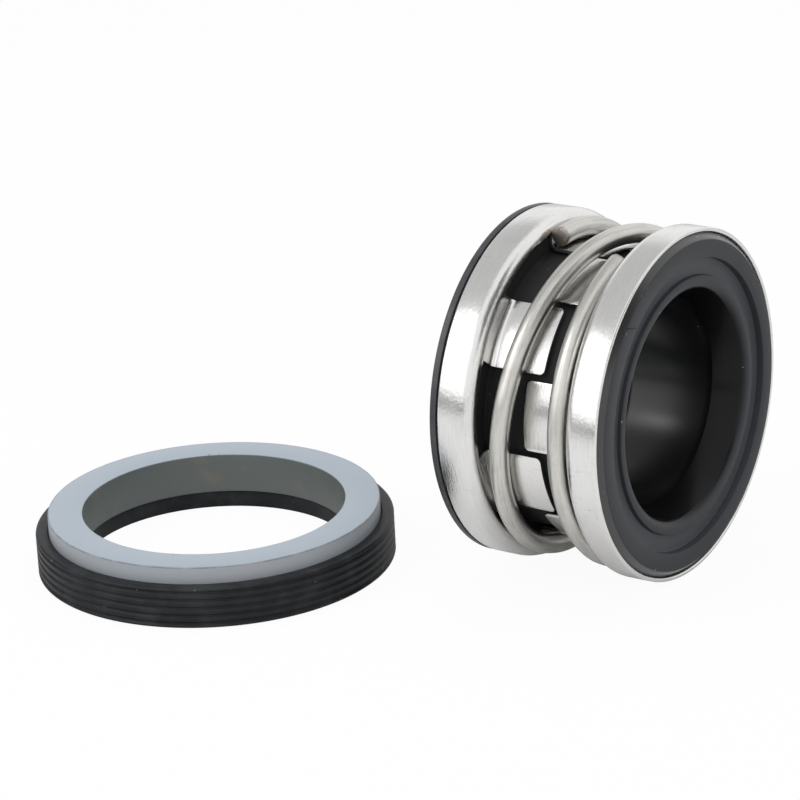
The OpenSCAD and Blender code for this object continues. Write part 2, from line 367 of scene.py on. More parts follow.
class Paint:
    """Node tree of a material or of the world, and the nodes that are added to it."""

    MIX_COLOUR_INPUTS = (0, 6, 7)
    MIX_COLOUR_OUTPUT = 2
    ARC_R = 25 * MM

    def __init__(self, owner: Union[Material, bpy.types.World]) -> None:
        """Switches on the nodes of a material or of the world."""
        owner.use_nodes = True
        self.owner = owner
        self.tree = owner.node_tree

    def node(
        self,
        kind: str,
        settings: Optional[dict[str, object]] = None,
        inputs: Optional[dict[Union[str, int], object]] = None,
        output: Union[str, int] = 0,
    ) -> Wire:
        """Adds a node.

        Args:
            kind: Blender's name of the node's type.
            settings: Its settings, set first.
            inputs: Values or wires of its sockets, by name or number.
            output: Name or number of the output to return.

        Returns:
            The chosen output.
        """
        made = self.tree.nodes.new(kind)
        for key, value in (settings or {}).items():
            setattr(made, key, value)
        for key, value in (inputs or {}).items():
            self.plug(made.inputs[key], value)
        return Wire(self, made.outputs[output])

    def plug(self, socket: bpy.types.NodeSocket, value: object) -> None:
        """Sets a socket to a value or joins it to a wire."""
        if isinstance(value, Wire):
            self.tree.links.new(value.socket, socket)
        elif isinstance(value, tuple) and socket.type == "RGBA":
            socket.default_value = (*value, 1.0)
        else:
            socket.default_value = value

    def math(self, operation: str, first: Number, second: Number) -> Wire:
        """Adds a Math node."""
        return self.node("ShaderNodeMath", {"operation": operation}, {0: first, 1: second})

    def surface(self, **values: object) -> None:
        """Sets the principled shader's sockets, named with underscores in place of spaces."""
        shader = self.tree.nodes["Principled BSDF"]
        for name, value in values.items():
            self.plug(shader.inputs[name.replace("_", " ")], value)

    def show(self, shader: Wire, output: str = "Material Output") -> None:
        """Joins a shader to the tree's output node."""
        self.plug(self.tree.nodes[output].inputs[0], shader)

    def white(self, kind: str, strength: float) -> Wire:
        """Adds a shader that shines white, of the type for a surface or for the world."""
        return self.node(kind, inputs={"Color": WHITE, "Strength": strength})

    def mix(self, factor: Number, first: Union[Wire, Colour], second: Union[Wire, Colour]) -> Wire:
        """Mixes two colours."""
        sockets = dict(zip(self.MIX_COLOUR_INPUTS, (factor, first, second)))
        return self.node("ShaderNodeMix", {"data_type": "RGBA"}, sockets, self.MIX_COLOUR_OUTPUT)

    def mix_shaders(self, factor: Wire, first: Wire, second: Wire) -> Wire:
        """Mixes two shaders."""
        return self.node("ShaderNodeMixShader", inputs={0: factor, 1: first, 2: second})

    def parts(self, vector: Wire) -> Place:
        """Splits a vector into its three numbers."""
        outputs = self.node("ShaderNodeSeparateXYZ", inputs={0: vector}).socket.node.outputs
        return tuple(Wire(self, output) for output in outputs)

    def place(self) -> Place:
        """Returns the object's three coordinates, in metres."""
        return self.parts(self.node("ShaderNodeTexCoord", output="Object"))

    def square_place(self, axis: Axis) -> Place:
        """Returns the distances along an axis, up from it and across it, in metres."""
        kind, dot = "ShaderNodeVectorMath", {"operation": "DOT_PRODUCT"}
        place = self.node("ShaderNodeTexCoord", output="Object")
        offset = self.node(kind, {"operation": "SUBTRACT"}, {0: place, 1: axis.origin})
        ways = (axis.along, axis.up, axis.across)
        return tuple(self.node(kind, dot, {0: offset, 1: way}, "Value") for way in ways)

    def turned_place(self, axis: Axis) -> Place:
        """Returns the distance along an axis, the radius and the arc round it, in metres."""
        along, up, across = self.square_place(axis)
        radius = (up * up + across * across) ** 0.5
        return along, radius, self.math("ARCTAN2", across, up) * self.ARC_R

    def noise(self, place: Place, pattern: Pattern) -> Wire:
        """Returns a pattern's noise at a place, between 0 and 1."""
        pulled = dict(enumerate(part * pull for part, pull in zip(place, pattern.pull)))
        vector = self.node("ShaderNodeCombineXYZ", inputs=pulled)
        sockets = {"Scale": pattern.scale, "Detail": pattern.detail, "Roughness": pattern.roughness}
        return self.node("ShaderNodeTexNoise", inputs={"Vector": vector, **sockets})

    def spots(self, place: Place, pattern: Pattern) -> Wire:
        """Returns 1 on a pattern's spots and 0 between them."""
        return self.noise(place, pattern).band(*pattern.shows)

    def bump(self, height: Wire, depth: float) -> Wire:
        """Returns a normal that a height between 0 and 1 tilts.

        Args:
            height: Height from 0 to 1.
            depth: Real depth of that height in metres.

        Returns:
            The tilted normal.
        """
        return self.node("ShaderNodeBump", inputs={"Distance": depth, "Height": height})


# Finishes


@dataclass(frozen=True)
class Finish:
    """Finish of a surface, made as one material."""

    name: str

    def material(self) -> Material:
        """Makes the material."""
        paint = Paint(bpy.data.materials.new(self.name))
        self.cover(paint)
        return paint.owner

    def cover(self, paint: Paint) -> None:
        """Adds the finish's nodes."""
        raise NotImplementedError


@dataclass(frozen=True)
class PressedSteel(Finish):
    """Bright stainless sheet as it leaves the press, with fine draw marks and a few scratches."""

    DRAW_MARKS = Pattern(5200.0, 3.0, 0.6, shows=(0.42, 0.72), pull=(1.0, 1.0, 0.06))
    CLOUD = Pattern(180.0, 4.0, 0.6, shows=(0.52, 0.75))
    GRAIN = Pattern(3000.0, 2.0, 0.55, pull=(1.0, 1.0, 0.6))
    WAVES = Pattern(420.0, 2.0, 0.5, pull=(1.0, 1.0, 0.35))
    SCRATCHES = Pattern(1500.0, 1.0, 0.4, shows=(0.70, 0.74), pull=(0.2, 1.0, 1.6))
    ROUGH_CLOUD = (0.4, 0.8)

    axis: Axis
    colour: Colour = (0.80, 0.795, 0.785)
    dull_colour: Colour = (0.62, 0.615, 0.60)
    cloud_dulls: float = 0.35
    scratch_dulls: float = 0.35
    marks_dull: float = 0.32
    roughness: float = 0.16
    marks_roughen: float = 0.08
    cloud_roughens: float = 0.06
    scratch_roughens: float = 0.04
    relief: float = 0.043 * MM
    wave_height: float = 0.08
    grain_height: float = 0.56
    mark_height: float = 0.36

    def cover(self, paint: Paint) -> None:
        """Adds the finish's nodes."""
        place = paint.turned_place(self.axis)
        marks = paint.noise(place, self.DRAW_MARKS)
        cloud = paint.noise(place, self.CLOUD)
        grain = paint.noise(place, self.GRAIN)
        waves = paint.noise(place, self.WAVES)
        scratch = paint.spots(place, self.SCRATCHES)
        dull = cloud.band(*self.CLOUD.shows) * self.cloud_dulls + scratch * self.scratch_dulls
        dull += marks.band(*self.DRAW_MARKS.shows) * self.marks_dull
        rough = self.roughness + marks * self.marks_roughen + scratch * self.scratch_roughens
        height = waves * self.wave_height + grain * self.grain_height + marks * self.mark_height
        paint.surface(
            Base_Color=paint.mix(dull.least(1.0), self.colour, self.dull_colour),
            Metallic=1.0,
            Roughness=rough + cloud.band(*self.ROUGH_CLOUD) * self.cloud_roughens,
            Normal=paint.bump(height, self.relief),
        )


@dataclass(frozen=True)
class DrawnWire(Finish):
    """Dull stainless spring wire with streaks along its length and browned cut ends."""

    STREAKS = Pattern(3800.0, 3.0, 0.6, shows=(0.46, 0.72), pull=(0.035, 1.0, 1.0))
    FINE = Pattern(9000.0, 2.0, 0.6, shows=(0.5, 0.7), pull=(0.09, 1.0, 1.0))
    CLOUD = Pattern(260.0, 3.0, 0.6, shows=(0.5, 0.8))
    BURNT_PATCHES = (0.35, 0.65)

    length: float
    colour: Colour = (0.66, 0.65, 0.617)
    dark_colour: Colour = (0.44, 0.43, 0.40)
    burnt_colour: Colour = (0.30, 0.25, 0.20)
    burnt_whole: float = 0.1 * MM
    burnt_end: float = 0.9 * MM
    burnt_least: float = 0.5
    burnt_cover: float = 0.9
    streaks_wear: float = 0.75
    cloud_wears: float = 0.35
    fine_wears: float = 0.25
    roughness: float = 0.27
    streaks_roughen: float = 0.12
    burnt_roughens: float = 0.15
    relief: float = 0.023 * MM
    streak_height: float = 0.6
    fine_height: float = 0.4

    def cover(self, paint: Paint) -> None:
        """Adds the finish's nodes."""
        lay = paint.node("ShaderNodeAttribute", {"attribute_name": Spring.LAY}, output="Vector")
        place = paint.parts(lay)
        streaks = paint.noise(place, self.STREAKS)
        fine = paint.noise(place, self.FINE)
        darkened = streaks.band(*self.STREAKS.shows) * self.streaks_wear
        darkened += paint.spots(place, self.CLOUD) * self.cloud_wears
        darkened += fine.band(*self.FINE.shows) * self.fine_wears
        body = paint.mix(darkened.least(1.0), self.colour, self.dark_colour)
        from_end = place[0].least(self.length - place[0])
        burnt = 1.0 - from_end.band(self.burnt_whole, self.burnt_end)
        burnt *= fine.band(*self.BURNT_PATCHES).between(self.burnt_least, 1.0)
        paint.surface(
            Base_Color=paint.mix(burnt * self.burnt_cover, body, self.burnt_colour),
            Metallic=1.0,
            Roughness=self.roughness + streaks * self.streaks_roughen + burnt * self.burnt_roughens,
            Normal=paint.bump(streaks * self.streak_height + fine * self.fine_height, self.relief),
        )


@dataclass(frozen=True)
class MouldedRubber(Finish):
    """Black moulded rubber with a faint mould grain, a little bloom and a few pale specks."""

    GRAIN = Pattern(3200.0, 3.0, 0.55)
    CLOUD = Pattern(210.0, 4.0, 0.6, shows=(0.42, 0.72))
    SPECKS = Pattern(1500.0, 1.0, 0.4, shows=(0.80, 0.82))

    colour: Colour = (0.0075, 0.0082, 0.0095)
    bloom_colour: Colour = (0.022, 0.024, 0.027)
    speck_colour: Colour = (0.22, 0.22, 0.22)
    bloom: float = 0.5
    roughness: float = 0.34
    cloud_roughens: float = 0.12
    grain_roughens: float = 0.05
    grain_depth: float = 0.010 * MM
    grain_height: float = 0.7
    cloud_height: float = 0.3
    index: float = 1.28
    skin_roughness: float = 0.32
    skin_index: float = 1.7

    def cover(self, paint: Paint) -> None:
        """Adds the finish's nodes."""
        place = paint.place()
        grain = paint.noise(place, self.GRAIN)
        cloud = paint.noise(place, self.CLOUD)
        veil = cloud.band(*self.CLOUD.shows) * self.bloom
        body = self.tone(paint, paint.mix(veil, self.colour, self.bloom_colour))
        rough = self.smoothness(paint) + cloud * self.cloud_roughens + grain * self.grain_roughens
        height = self.relief(paint, grain * self.grain_height + cloud * self.cloud_height)
        paint.surface(
            Base_Color=paint.mix(paint.spots(place, self.SPECKS), body, self.speck_colour),
            Roughness=rough,
            Normal=paint.bump(height, self.grain_depth),
            IOR=self.index,
            Coat_Weight=self.polish(paint),
            Coat_Roughness=self.skin_roughness,
            Coat_IOR=self.skin_index,
        )

    def polish(self, paint: Paint) -> Number:
        """Returns how much of a polished skin the rubber has."""
        return 0.0

    def tone(self, paint: Paint, body: Wire) -> Wire:
        """Returns the colour, given that of the plain rubber."""
        return body

    def smoothness(self, paint: Paint) -> Number:
        """Returns the roughness before its grain is added."""
        return self.roughness

    def relief(self, paint: Paint, grain: Wire) -> Wire:
        """Returns the height of the surface, given that of its grain."""
        return grain


@dataclass(frozen=True)
class BellowsRubber(MouldedRubber):
    """Rubber of the bellows, polished in the bore and at its edge, satin on the tail face, with
    painted light on the tail face and its groove and painted shade in the bore, on the edge and in
    the cut.
    """

    axis: Optional[Axis] = None
    # Painted light: the tail face is painted lighter and bluer than the rubber itself, for the light
    # it catches.
    face_colour: Colour = (0.032, 0.0355, 0.040)
    face_light_share: float = 0.75
    # Painted shade: the bore and the edge outside the tail face are painted near black, darker than
    # the rubber itself, and the cut shows the same colour.
    dark_colour: Colour = (0.0030, 0.0031, 0.0034)
    window_colour: Colour = (0.011, 0.0113, 0.012)
    # Painted light: the groove in the tail face is painted lighter still, where light falls on its
    # floor.
    groove_light_colour: Colour = (0.048, 0.053, 0.059)
    mouth_r: float = 19.95 * MM
    mouth_fade: float = 1.05 * MM
    bore_fade: float = 0.9 * MM
    mouth_depth: float = 5.8 * MM
    hub_depth: float = 7.3 * MM
    hub_polish: float = 0.36
    groove_inner: float = 21.4 * MM
    groove_outer: float = 24.05 * MM
    edge_r: float = 27.2 * MM
    edge_fade: float = 0.1 * MM
    tail_depth: float = 6.5 * MM
    window_depth: float = 6.9 * MM
    polished: float = 0.13
    window_roughness: float = 0.60
    cut_across: float = -17.7 * MM
    cut_up: float = 19.05 * MM
    cut_slope: float = math.radians(-17.3)
    cut_half_width: tuple[float, float] = (0.078 * MM, 0.182 * MM)
    cut_half_length: tuple[float, float] = (1.45 * MM, 1.75 * MM)
    cut_reach: tuple[float, float] = (1.0 * MM, 1.2 * MM)
    cut_height: float = 4.0

    def past_tail(self, along: Wire) -> Wire:
        """Returns 0 on the tail block's outside and 1 further into the head."""
        return along.band(self.tail_depth, self.window_depth)

    def on_edge(self, radius: Wire) -> Wire:
        """Returns 1 on the black edge outside the tail face."""
        return radius.band(self.edge_r - self.edge_fade, self.edge_r + self.edge_fade)

    def out_of_bore(self, radius: Wire) -> Wire:
        """Returns 0 in the bore and 1 outside it."""
        return radius.band(self.mouth_r - self.bore_fade, self.mouth_r)

    def face_share(self, paint: Paint) -> Wire:
        """Returns 1 on the tail face and 0 in the bore, on the black edge and inside the head."""
        along, radius, _ = paint.turned_place(self.axis)
        past_mouth = radius.band(self.mouth_r - self.mouth_fade, self.mouth_r)
        return past_mouth * (1.0 - self.on_edge(radius)) * (1.0 - self.past_tail(along))

    def window_share(self, paint: Paint) -> Wire:
        """Returns 1 on the rubber that shows between the tabs."""
        along, radius, _ = paint.turned_place(self.axis)
        return self.past_tail(along) * self.out_of_bore(radius)

    def cut(self, paint: Paint) -> Wire:
        """Returns 1 on the small cut in the tail face."""
        along, up, across = paint.square_place(self.axis)
        up = up - self.cut_up
        across = across - self.cut_across
        sine, cosine = math.sin(self.cut_slope), math.cos(self.cut_slope)
        past_width = abs(up * cosine - across * sine).band(*self.cut_half_width)
        past_length = abs(across * cosine + up * sine).band(*self.cut_half_length)
        return (1.0 - past_width) * (1.0 - past_length) * (1.0 - along.band(*self.cut_reach))

    def polish(self, paint: Paint) -> Number:
        """Returns how much of a polished skin the rubber has."""
        along, radius, _ = paint.turned_place(self.axis)
        in_hub = along.band(self.mouth_depth, self.hub_depth) * (1.0 - self.out_of_bore(radius))
        return self.on_edge(radius) * (1.0 - self.past_tail(along)) + in_hub * self.hub_polish

    def tone(self, paint: Paint, body: Wire) -> Wire:
        """Returns the colour, given that of the plain rubber, with painted light on the tail face and
        its groove and painted shade in the bore, on the edge and in the cut.
        """
        _, radius, _ = paint.turned_place(self.axis)
        # Painted light: the groove's floor and walls are painted lighter.
        groove_light_mask = radius.band(self.groove_inner - self.edge_fade, self.groove_inner)
        groove_light_mask *= 1.0 - radius.band(self.groove_outer, self.groove_outer + self.edge_fade)
        # Painted light: the tail face takes the lighter face colour.
        plain = paint.mix(self.face_light_share, body, self.face_colour)
        face = paint.mix(groove_light_mask, plain, self.groove_light_colour)
        # Painted shade: outside the windows, the bore and the edge take the near-black colour.
        inside = paint.mix(self.window_share(paint), self.dark_colour, self.window_colour)
        # Painted shade: the cut in the tail face also shows the near-black colour.
        return paint.mix(self.face_share(paint) * (1.0 - self.cut(paint)), inside, face)

    def smoothness(self, paint: Paint) -> Number:
        """Returns the roughness before its grain is added."""
        plain = self.face_share(paint).between(self.polished, self.roughness)
        return self.window_share(paint).between(plain, self.window_roughness)

    def relief(self, paint: Paint, grain: Wire) -> Wire:
        """Returns the height of the surface, given that of its grain."""
        return grain - self.cut(paint) * self.cut_height


@dataclass(frozen=True)
class CarbonBlock(Finish):
    """Machined carbon with turning marks, dull and charcoal."""

    RINGS = Pattern(7000.0, 2.0, 0.5, pull=(1.0, 1.0, 0.03))
    GRAIN = Pattern(2400.0, 4.0, 0.65)
    CLOUD = Pattern(260.0, 3.0, 0.6, shows=(0.35, 0.75))

    axis: Axis
    colour: Colour = (0.016, 0.0165, 0.018)
    light_colour: Colour = (0.030, 0.031, 0.033)
    roughness: float = 0.36
    grain_roughens: float = 0.16
    relief: float = 0.008 * MM
    ring_height: float = 0.5
    grain_height: float = 0.5
    index: float = 1.6

    def cover(self, paint: Paint) -> None:
        """Adds the finish's nodes."""
        place = paint.place()
        rings = paint.noise(paint.turned_place(self.axis), self.RINGS)
        grain = paint.noise(place, self.GRAIN)
        lighter = paint.spots(place, self.CLOUD)
        paint.surface(
            Base_Color=paint.mix(lighter, self.colour, self.light_colour),
            Roughness=self.roughness + grain * self.grain_roughens,
            Normal=paint.bump(rings * self.ring_height + grain * self.grain_height, self.relief),
            IOR=self.index,
        )


@dataclass(frozen=True)
class LappedCeramic(Finish):
    """Silicon carbide with a lapped face, dull ground sides, a bore painted darker as shade with
    stains on it, and tiny edge chips.
    """

    GRAIN = Pattern(5200.0, 4.0, 0.7)
    CLOUD = Pattern(170.0, 4.0, 0.6, shows=(0.3, 0.8))
    STAINS = Pattern(240.0, 3.0, 0.6, shows=(0.56, 0.70))
    RINGS = Pattern(6500.0, 2.0, 0.5, pull=(1.0, 1.0, 0.02))
    CHIPS = Pattern(900.0, 2.0, 0.6, shows=(0.66, 0.70))
    EDGE_PATCHES = Pattern(320.0, 3.0, 0.6, shows=(0.35, 0.6))
    FACE_SKIN = (0.14 * MM, 0.02 * MM)
    CHIP_DEPTH = (0.8 * MM, 0.3 * MM)
    CHIP_WIDTH = (0.25 * MM, 0.55 * MM)
    BORE_SKIN = (0.12 * MM, 0.30 * MM)
    DARK_EDGE = (0.26 * MM, 0.16 * MM)

    axis: Axis
    face_at: float
    bore_r: float
    outer_r: float
    face_colour: Colour = (0.20, 0.235, 0.272)
    edge_colour: Colour = (0.085, 0.092, 0.10)
    side_colour: Colour = (0.225, 0.24, 0.258)
    # Painted shade: the bore is painted darker than the ground sides.
    bore_shade_colour: Colour = (0.056, 0.068, 0.066)
    stain_colour: Colour = (0.11, 0.085, 0.06)
    chip_colour: Colour = (0.05, 0.052, 0.055)
    roughness: float = 0.42
    face_smooths: float = 0.12
    grain_roughens: float = 0.10
    cloud_roughens: float = 0.05
    cloud_cover: float = 0.4
    stain_cover: float = 0.55
    dark_edge_cover: float = 0.8
    dark_edge_least: float = 0.35
    relief: float = 0.006 * MM
    grain_height: float = 0.5
    ring_height: float = 0.5
    chip_height: float = 2.0
    index: float = 1.75

    def near_face(self, along: Wire, deepest: float, highest: float) -> Wire:
        """Returns 0 below one depth under the lapped face and 1 above the other."""
        return along.band(self.face_at - deepest, self.face_at - highest)

    def cover(self, paint: Paint) -> None:
        """Adds the finish's nodes."""
        turned_place = paint.turned_place(self.axis)
        along, radius, _ = turned_place
        place = paint.place()
        grain = paint.noise(place, self.GRAIN)
        cloud = paint.noise(place, self.CLOUD)
        rings = paint.noise(turned_place, self.RINGS)
        face = self.near_face(along, *self.FACE_SKIN)
        into_ring = radius - self.bore_r
        bore = 1.0 - into_ring.band(*self.BORE_SKIN)
        chips = paint.spots(place, self.CHIPS) * self.near_face(along, *self.CHIP_DEPTH)
        chips *= 1.0 - into_ring.band(*self.CHIP_WIDTH)
        clouded = cloud.band(*self.CLOUD.shows) * self.cloud_cover
        side = paint.mix(clouded, self.side_colour, self.face_colour)
        stained = paint.spots(place, self.STAINS) * self.stain_cover
        # Painted shade in the bore, with the stains mixed over it.
        walls = paint.mix(bore, side, paint.mix(stained, self.bore_shade_colour, self.stain_colour))
        # A darker band runs along the outer edge of the lapped face, in patches.
        deepest, highest = self.DARK_EDGE
        on_edge = radius.band(self.outer_r - deepest, self.outer_r - highest)
        darkened = on_edge * self.near_face(along, deepest, highest) * self.dark_edge_cover
        darkened *= paint.spots(place, self.EDGE_PATCHES).between(self.dark_edge_least, 1.0)
        whole = paint.mix(darkened, paint.mix(face, walls, self.face_colour), self.edge_colour)
        rough = self.roughness - face * self.face_smooths + grain * self.grain_roughens
        height = grain * self.grain_height + rings * (1.0 - face) * self.ring_height
        paint.surface(
            Base_Color=paint.mix(chips, whole, self.chip_colour),
            Roughness=rough + cloud * self.cloud_roughens,
            Normal=paint.bump(height - chips * self.chip_height, self.relief),
            IOR=self.index,
        )


# Head


@dataclass(frozen=True)
class CupSizes:
    """Sizes that both pressed cups have."""

    radius: float
    height: float
    sheet: float = 0.7 * MM
    shoulder: float = 2.0 * MM
    web: float = 0.3 * MM
    tab_count: int = 6
    tab_radius: float = 24.25 * MM
    tab_width: float = 11.49 * MM
    tab_length: float = 9.9 * MM
    tab_bend: float = 0.9 * MM
    tab_corner: float = 0.9 * MM
    cut_edge: float = 0.09 * MM
    lip_edge: float = 0.30 * MM

    @property
    def window_r(self) -> float:
        """Radius of the shoulder's inner edge, where the windows between the tabs begin."""
        return self.radius - self.shoulder - self.web


@dataclass
class PressedCup:
    """Pressed cup: a band with a rounded lip and a turned-in shoulder that carries six drive tabs.

    Attributes:
        name: Name of the cup.
        axis: Its axis, with the lip at distance 0 and the tabs further along.
        sizes: Its sizes.
        first_tab: Angle of the middle of one tab, in radians.
    """

    COLUMNS = 30
    CORNER_CUTS = 5
    ON_LIP = 0.005 * MM
    LIP_STEPS = 4
    EDGE_STEPS = 2
    SMOOTH = math.radians(40)

    name: str
    axis: Axis
    sizes: CupSizes
    first_tab: float

    def build(self) -> Piece:
        """Makes the cup.

        Returns:
            The finished piece.
        """
        bench = self.one_sixth()
        self.cut_tab(bench)
        self.repeat()
        bench.weld()
        bench.face_outwards()
        bpy.ops.object.mode_set(mode="OBJECT")
        self.thicken(bench.piece)
        bpy.ops.object.mode_set(mode="EDIT")
        bench.select(Kind.EDGES, lambda point: abs(self.axis.distance(point)) < self.ON_LIP)
        bpy.ops.mesh.bevel(offset=self.sizes.lip_edge, segments=self.LIP_STEPS, affect="EDGES")
        bench.round_sharp(self.sizes.cut_edge, self.EDGE_STEPS)
        return bench.done(self.SMOOTH)

    def one_sixth(self) -> Bench:
        """Turns one sixth of the cup's outer face, with the tab not yet cut from it.

        Returns:
            The bench with the surface on it.
        """
        size = self.sizes
        pitch = FULL_TURN / size.tab_count
        start = self.first_tab - pitch / 2
        up, across = self.axis.out(start), self.axis.out(start + math.pi / 2)
        turned_up = Axis(self.axis.origin, self.axis.along, up, across)
        corners = [
            Corner(0.0, size.radius),
            Corner(size.height, size.radius, size.shoulder, 8),
            Corner(size.height, size.window_r),
            Corner(size.height, size.tab_radius, size.tab_bend, 6),
            Corner(size.height + size.tab_length, size.tab_radius),
        ]
        route = [turned_up.place(corner.distance, corner.radius) for corner in corners]
        bench = Bench(self.name, route[0])
        bench.draw(route)
        bench.round_corners(turned_up, corners, closed=False)
        bench.spin(turned_up, self.COLUMNS, pitch)
        bench.weld()
        return bench

    def cut_tab(self, bench: Bench) -> None:
        """Cuts the tab to parallel sides and round corners.

        Args:
            bench: The bench with one sixth of the cup on it.
        """
        size = self.sizes
        ahead = self.axis.out(self.first_tab + math.pi / 2)
        tip = size.height + size.tab_length

        def is_tab(point: Vector) -> bool:
            """Tells whether a face lies inside the cup's window edge."""
            return self.axis.radius(point) < size.window_r - bench.NEAR

        for side in (-1, 1):
            edge = ahead * (side * size.tab_width / 2)
            bench.select(Kind.FACES, is_tab)
            bpy.ops.mesh.bisect(
                plane_co=self.axis.origin + edge,
                plane_no=ahead * side,
                clear_outer=False,
                threshold=bench.WELD,
            )
            bench.select(
                Kind.FACES,
                lambda point, side=side: is_tab(point)
                and (point - self.axis.origin).dot(ahead) * side > size.tab_width / 2,
            )
            bpy.ops.mesh.delete(type="FACE")
            middle = self.axis.origin + ahead * (side * (size.tab_width / 2 - size.tab_corner))
            middle += self.axis.along * (tip - size.tab_corner)
            for cut in range(self.CORNER_CUTS):
                turn = (cut + 0.5) / self.CORNER_CUTS * math.pi / 2
                way = ahead * (side * math.cos(turn)) + self.axis.along * math.sin(turn)
                bench.select(Kind.FACES, is_tab)
                bpy.ops.mesh.bisect(
                    plane_co=middle + way * size.tab_corner,
                    plane_no=way,
                    clear_outer=True,
                    threshold=bench.WELD,
                )

    def repeat(self) -> None:
        """Copies the sixth on the bench round the axis."""
        bpy.ops.mesh.select_mode(type=Kind.FACES.value)
        bpy.ops.mesh.select_all(action="SELECT")
        bpy.ops.mesh.spin(
            steps=self.sizes.tab_count,
            dupli=True,
            angle=FULL_TURN,
            center=self.axis.origin,
            axis=self.axis.along,
            use_auto_merge=False,
        )

    def thicken(self, piece: Piece) -> None:
        """Gives the surface the thickness of the sheet, on its inner side."""
        wall = piece.modifiers.new("sheet", "SOLIDIFY")
        wall.thickness = self.sizes.sheet
        wall.offset = -1.0
        wall.use_even_offset = True
        bpy.context.view_layer.objects.active = piece
        bpy.ops.object.modifier_apply(modifier=wall.name)


@dataclass
class Spring:
    """Coil spring between the shoulders of the two cups.

    Attributes:
        axis: The head's axis, with distances from the tail face.
        face_seat: Distance of the wire's middle where it lies on the retainer.
        tail_seat: Distance of the wire's middle where it lies on the drive band.
    """

    LAY = "lay"
    SLACK = 5.0
    LAPS = range(-1, 3)
    END_STEPS = 3

    axis: Axis
    face_seat: float
    tail_seat: float
    wire_r: float = 1.625 * MM
    coil_r: float = 26.375 * MM
    start: float = -5.0
    face_turn: float = 199.0
    rise_turn: float = 280.0
    tail_turn: float = 231.0
    lift: float = 1.0 * MM
    step: float = 2.5
    sides: int = 28
    end_edge: float = 0.28 * MM

    @property
    def whole_turn(self) -> float:
        """Angle in degrees from one end of the wire to the other."""
        return self.face_turn + self.rise_turn + self.tail_turn

    def distance(self, turned_by: float) -> float:
        """Returns the wire's distance along the axis, at an angle in degrees from its first end."""
        risen = turned_by - self.face_turn
        rise = min(1.0, max(0.0, risen / self.rise_turn))
        rise = rise * rise * (3 - 2 * rise)
        settle = min(1.0, max(0.0, (risen - self.rise_turn) / self.tail_turn)) ** 3
        travel = self.face_seat - self.tail_seat
        return self.face_seat - (travel - self.lift) * rise - self.lift * settle

    def route(self) -> list[Vector]:
        """Returns the points that the middle of the wire follows."""
        count = math.ceil(self.whole_turn / self.step)
        turns = [self.whole_turn * index / count for index in range(count + 1)]
        return [
            self.axis.place(self.distance(turn), self.coil_r, math.radians(self.start + turn))
            for turn in turns
        ]

    def build(self) -> Piece:
        """Makes the spring.

        Returns:
            The finished piece.
        """
        route = self.route()
        bench = Bench("coil_spring", route[0])
        bench.draw(route)
        bpy.ops.object.mode_set(mode="OBJECT")
        bpy.ops.object.convert(target="CURVE")
        path = bpy.context.active_object
        path.data.dimensions = "3D"
        path.data.twist_mode = "MINIMUM"
        path.data.bevel_depth = self.wire_r
        path.data.bevel_resolution = self.sides // 4 - 1
        path.data.use_fill_caps = True
        bpy.ops.object.convert(target="MESH")
        bench.piece = bpy.context.active_object
        bpy.ops.object.mode_set(mode="EDIT")
        bench.weld()
        bench.face_outwards()
        bench.round_sharp(self.end_edge, self.END_STEPS)
        piece = bench.done()
        self.lay_along(piece, route)
        return piece

    def lay_along(self, piece: Piece, route: Sequence[Vector]) -> None:
        """Writes where each vertex lies on the straightened wire, for the streaks along it.

        Args:
            piece: The finished spring.
            route: The points that the middle of the wire follows.
        """
        lengths = [0.0]
        for here, there in zip(route, route[1:]):
            lengths.append(lengths[-1] + (there - here).length)
        layer = piece.data.attributes.new(self.LAY, "FLOAT_VECTOR", "POINT")
        pace = lengths[1]
        per_degree = (len(route) - 1) / self.whole_turn
        last = self.whole_turn + self.SLACK
        for vertex in piece.data.vertices:
            base = (math.degrees(self.axis.turn(vertex.co)) - self.start) % 360
            laps = (base + 360 * lap for lap in self.LAPS)
            turns = [turn for turn in laps if -self.SLACK <= turn <= last]
            along = self.axis.distance(vertex.co)
            turn = min(turns, key=lambda turn: abs(self.distance(turn) - along))
            spot = min(max(turn * per_degree, 0.0), len(route) - 1.0)
            index = min(len(route) - 1, max(0, round(turn * per_degree)))
            layer.data[vertex.index].vector = (
                lengths[index] + (spot - index) * pace,
                self.axis.radius(vertex.co) - self.coil_r,
                along - self.distance(turn),
            )


